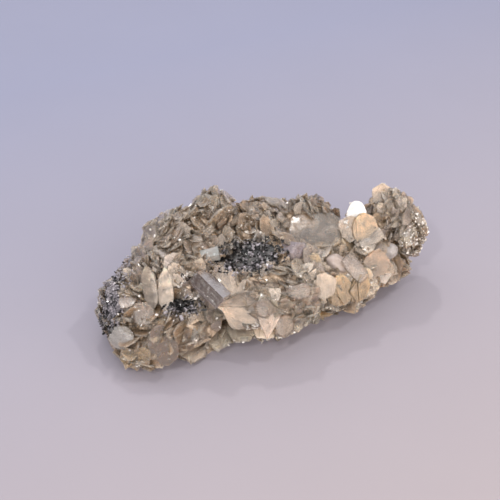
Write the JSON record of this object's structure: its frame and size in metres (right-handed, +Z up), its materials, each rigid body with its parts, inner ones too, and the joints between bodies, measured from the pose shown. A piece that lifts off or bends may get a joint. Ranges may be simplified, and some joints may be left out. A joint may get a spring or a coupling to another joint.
{
  "type": "aquamarine on mica specimen",
  "caption": "Hand-sized mineral specimen: pale aquamarine prisms, black schorl crusts and a white quartz crystal set in a cluster of tan mica blades, with a flat broken base to stand on.",
  "frame": {"origin": "on the base plane, under the middle of the specimen's box", "axes": "+Z up, +X along the specimen towards its raised lobe, and the best face looks towards -Y"},
  "size_m": [0.1046, 0.0462, 0.0377],
  "materials": {
    "mica": "pearly, in thin bright-edged sheets",
    "aquamarine": "glassy, pale blue-grey and cloudy",
    "quartz": "milky, with a waxy gloss",
    "schorl": "black, with small glossy faces"
  },
  "bodies": {
    "root": {"mica_matrix": "mica", "aquamarine_main": "aquamarine", "aquamarine_teal": "aquamarine", "aquamarine_right": "aquamarine", "aquamarine_lobe": "aquamarine", "quartz_crystal": "quartz", "schorl_centre": "schorl", "schorl_left_end": "schorl", "schorl_seam": "schorl"}
  },
  "joints": []
}
